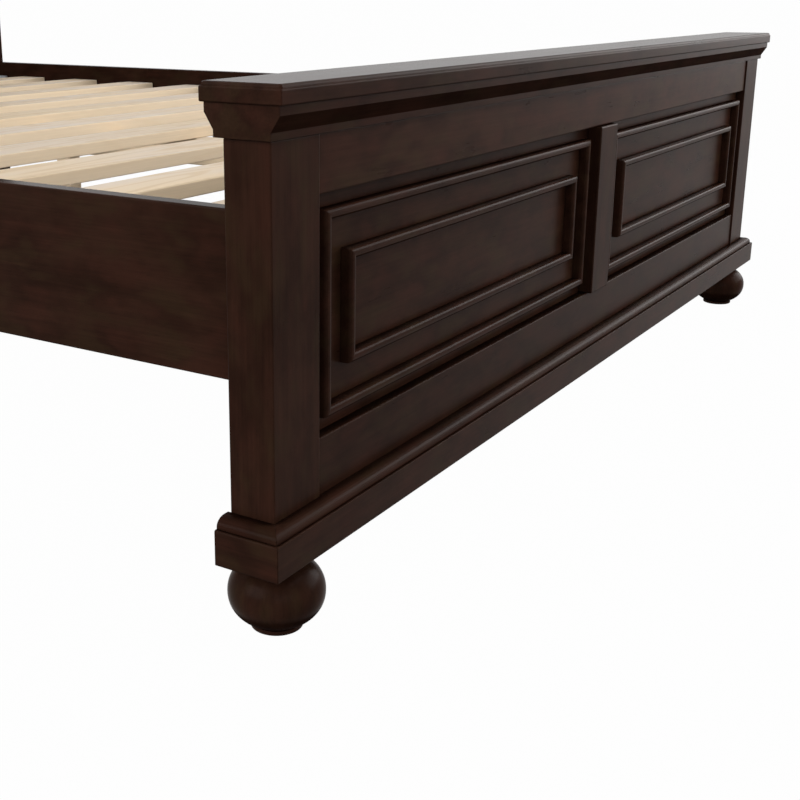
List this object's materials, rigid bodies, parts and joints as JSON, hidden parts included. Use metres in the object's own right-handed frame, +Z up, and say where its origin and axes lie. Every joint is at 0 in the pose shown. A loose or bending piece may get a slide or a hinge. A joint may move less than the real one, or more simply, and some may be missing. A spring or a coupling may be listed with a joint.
{
  "type": "platform bed",
  "caption": "Platform bed in dark stained wood: low frame-and-panel footboard with bead frames, crown and bun feet, panelled headboard, plain side rails and open pale slats.",
  "frame": {"origin": "middle of the floor under the whole bed, where the feet stand", "axes": "+Z up, +Y from the footboard to the headboard, +X to the right when the footboard is faced"},
  "size_m": [1.7, 2.201, 1.3464],
  "materials": {
    "stained_wood": "dark espresso stain under a satin lacquer",
    "pale_wood": "planed, unfinished pine",
    "zinc_steel": "zinc plated"
  },
  "bodies": {
    "root": {"footboard_cap": "stained_wood", "footboard_crown": "stained_wood", "footboard_post_left": "stained_wood", "footboard_post_right": "stained_wood", "footboard_top_rail": "stained_wood", "footboard_bottom_rail": "stained_wood", "footboard_stile": "stained_wood", "footboard_panel_left": "stained_wood", "footboard_panel_right": "stained_wood", "footboard_outer_bead_left": "stained_wood", "footboard_outer_bead_right": "stained_wood", "footboard_inner_bead_left": "stained_wood", "footboard_inner_bead_right": "stained_wood", "plinth_front": "stained_wood", "plinth_left": "stained_wood", "plinth_right": "stained_wood", "base_moulding_front": "stained_wood", "base_moulding_left": "stained_wood", "base_moulding_right": "stained_wood", "bun_foot_left": "stained_wood", "bun_foot_right": "stained_wood", "headboard_cap": "stained_wood", "headboard_crown": "stained_wood", "headboard_post_left": "stained_wood", "headboard_post_right": "stained_wood", "headboard_top_rail": "stained_wood", "headboard_bottom_rail": "stained_wood", "headboard_stile": "stained_wood", "headboard_panel_left": "stained_wood", "headboard_panel_right": "stained_wood", "headboard_outer_bead_left": "stained_wood", "headboard_outer_bead_right": "stained_wood", "headboard_inner_bead_left": "stained_wood", "headboard_inner_bead_right": "stained_wood", "side_rail_left": "stained_wood", "side_rail_right": "stained_wood", "slat_cleat_left": "stained_wood", "slat_cleat_right": "stained_wood", "slat_01": "pale_wood", "slat_02": "pale_wood", "slat_03": "pale_wood", "slat_04": "pale_wood", "slat_05": "pale_wood", "slat_06": "pale_wood", "slat_07": "pale_wood", "slat_08": "pale_wood", "slat_09": "pale_wood", "slat_10": "pale_wood", "centre_beam": "pale_wood", "centre_leg": "pale_wood", "beam_hanger_foot": "zinc_steel", "beam_hanger_head": "zinc_steel", "rail_bracket_foot_left": "zinc_steel", "rail_bracket_foot_right": "zinc_steel", "rail_bracket_head_left": "zinc_steel", "rail_bracket_head_right": "zinc_steel"}
  },
  "joints": []
}
